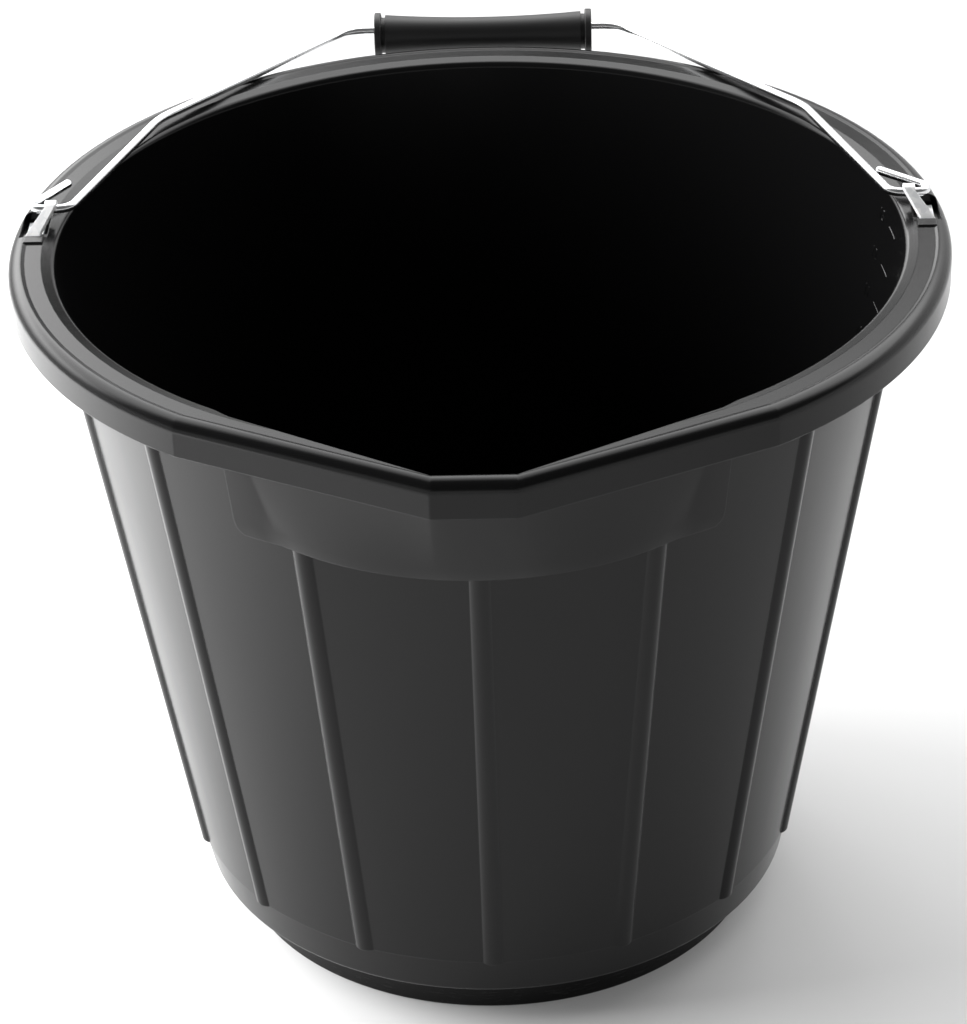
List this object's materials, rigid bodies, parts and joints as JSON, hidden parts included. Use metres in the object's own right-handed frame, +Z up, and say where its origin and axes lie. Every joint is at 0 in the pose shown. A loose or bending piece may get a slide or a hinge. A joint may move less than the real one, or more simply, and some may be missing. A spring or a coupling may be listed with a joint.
{
  "type": "builders bucket",
  "caption": "Tapered black plastic bucket with a pouring spout, a rolled rim and shallow ribs, carried by a wire bail with a loose grip.",
  "frame": {"origin": "middle of the flat underside of the base, on the ground", "axes": "+Z up along the bucket's axis, -Y towards the pouring spout, +X towards the right ear as seen from the spout"},
  "size_m": [0.332, 0.3652, 0.2766],
  "materials": {
    "bucket_plastic": "satin black moulded polypropylene",
    "strap_steel": "galvanised strip",
    "bail_steel": "bright zinc-plated wire",
    "grip_plastic": "satin black moulded polyethylene"
  },
  "bodies": {
    "bucket": {"bucket_body": "bucket_plastic", "ear_strap_left": "strap_steel", "ear_strap_right": "strap_steel"},
    "bail": {"bail_wire": "bail_steel"},
    "grip": {"grip": "grip_plastic"}
  },
  "joints": [
    {"name": "bail_swing", "type": "hinge", "parent": "bucket", "child": "bail", "pos_m": [0, 0.0132, 0.2735], "axis": [1, 0, 0], "range_deg": [0, 178]},
    {"name": "grip_spin", "type": "hinge", "parent": "bail", "child": "grip", "pos_m": [0, 0.17929, 0.26704], "axis": [1, 0, 0], "continuous": true}
  ]
}
